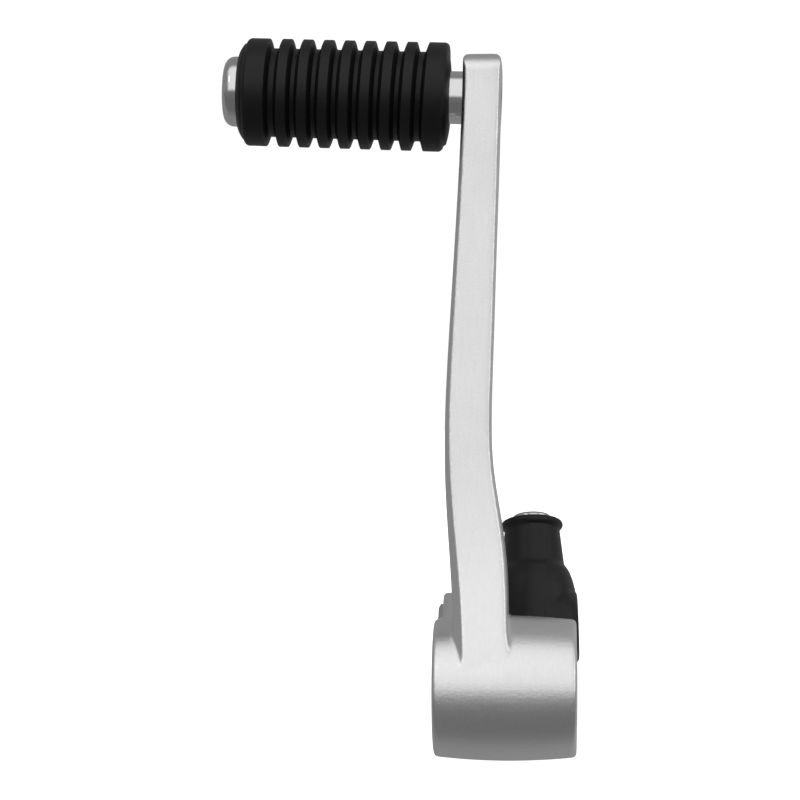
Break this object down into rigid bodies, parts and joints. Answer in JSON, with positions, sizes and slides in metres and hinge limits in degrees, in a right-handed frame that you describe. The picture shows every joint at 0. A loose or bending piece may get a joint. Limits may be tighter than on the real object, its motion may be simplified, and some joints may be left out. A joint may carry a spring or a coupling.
{
  "type": "motorcycle gear shift lever",
  "caption": "Forged aluminium gear shift lever with a wide pivot hub, a ribbed rubber foot peg and a rubber-booted ball joint for the shift rod.",
  "frame": {"origin": "centre of the pivot bore, half way along the hub", "axes": "+X along the pivot towards the motorcycle, +Z along the arm towards the foot peg, +Y backwards from the arm towards the ball joint"},
  "size_m": [0.0839, 0.0702, 0.1674],
  "materials": {
    "forged_aluminium": "bead blasted and brushed, satin clear",
    "ground_steel": "ground",
    "polished_steel": "polished",
    "zinc_steel": "bright zinc plated",
    "spring_steel": "oiled spring steel",
    "bronze": "sintered bronze",
    "peg_rubber": "matt black rubber",
    "boot_rubber": "matt black rubber",
    "seal_rubber": "nitrile rubber",
    "nylon": "natural nylon"
  },
  "bodies": {
    "pivot": {"pivot_sleeve": "ground_steel"},
    "lever": {"lever_body": "forged_aluminium", "bush_outer": "bronze", "bush_inner": "bronze", "seal_outer": "seal_rubber", "seal_inner": "seal_rubber", "peg_core": "polished_steel", "peg_rubber": "peg_rubber", "peg_screw": "zinc_steel", "ball_stud": "ground_steel", "stud_nut": "zinc_steel", "stud_lock_washer": "zinc_steel"},
    "slip_ring": {"boot_ring": "nylon"},
    "socket": {"socket_housing": "zinc_steel", "ball_seat_inner": "nylon", "ball_seat_outer": "nylon", "seat_spring": "spring_steel", "closing_plate": "zinc_steel", "snap_ring": "spring_steel", "boot": "boot_rubber"}
  },
  "joints": [
    {"name": "lever_swing", "type": "hinge", "parent": "pivot", "child": "lever", "pos_m": [0, 0, 0], "axis": [1, 0, 0], "range_deg": [-12, 12]},
    {"name": "socket_swivel", "type": "hinge", "parent": "lever", "child": "slip_ring", "pos_m": [0.0066, 0.038, 0.0103], "axis": [1, 0, 0], "range_deg": [-40, 40]},
    {"name": "socket_tilt", "type": "hinge", "parent": "slip_ring", "child": "socket", "pos_m": [0.0066, 0.038, 0.0103], "axis": [0, 0.9455, -0.3256], "range_deg": [-13, 15]}
  ]
}
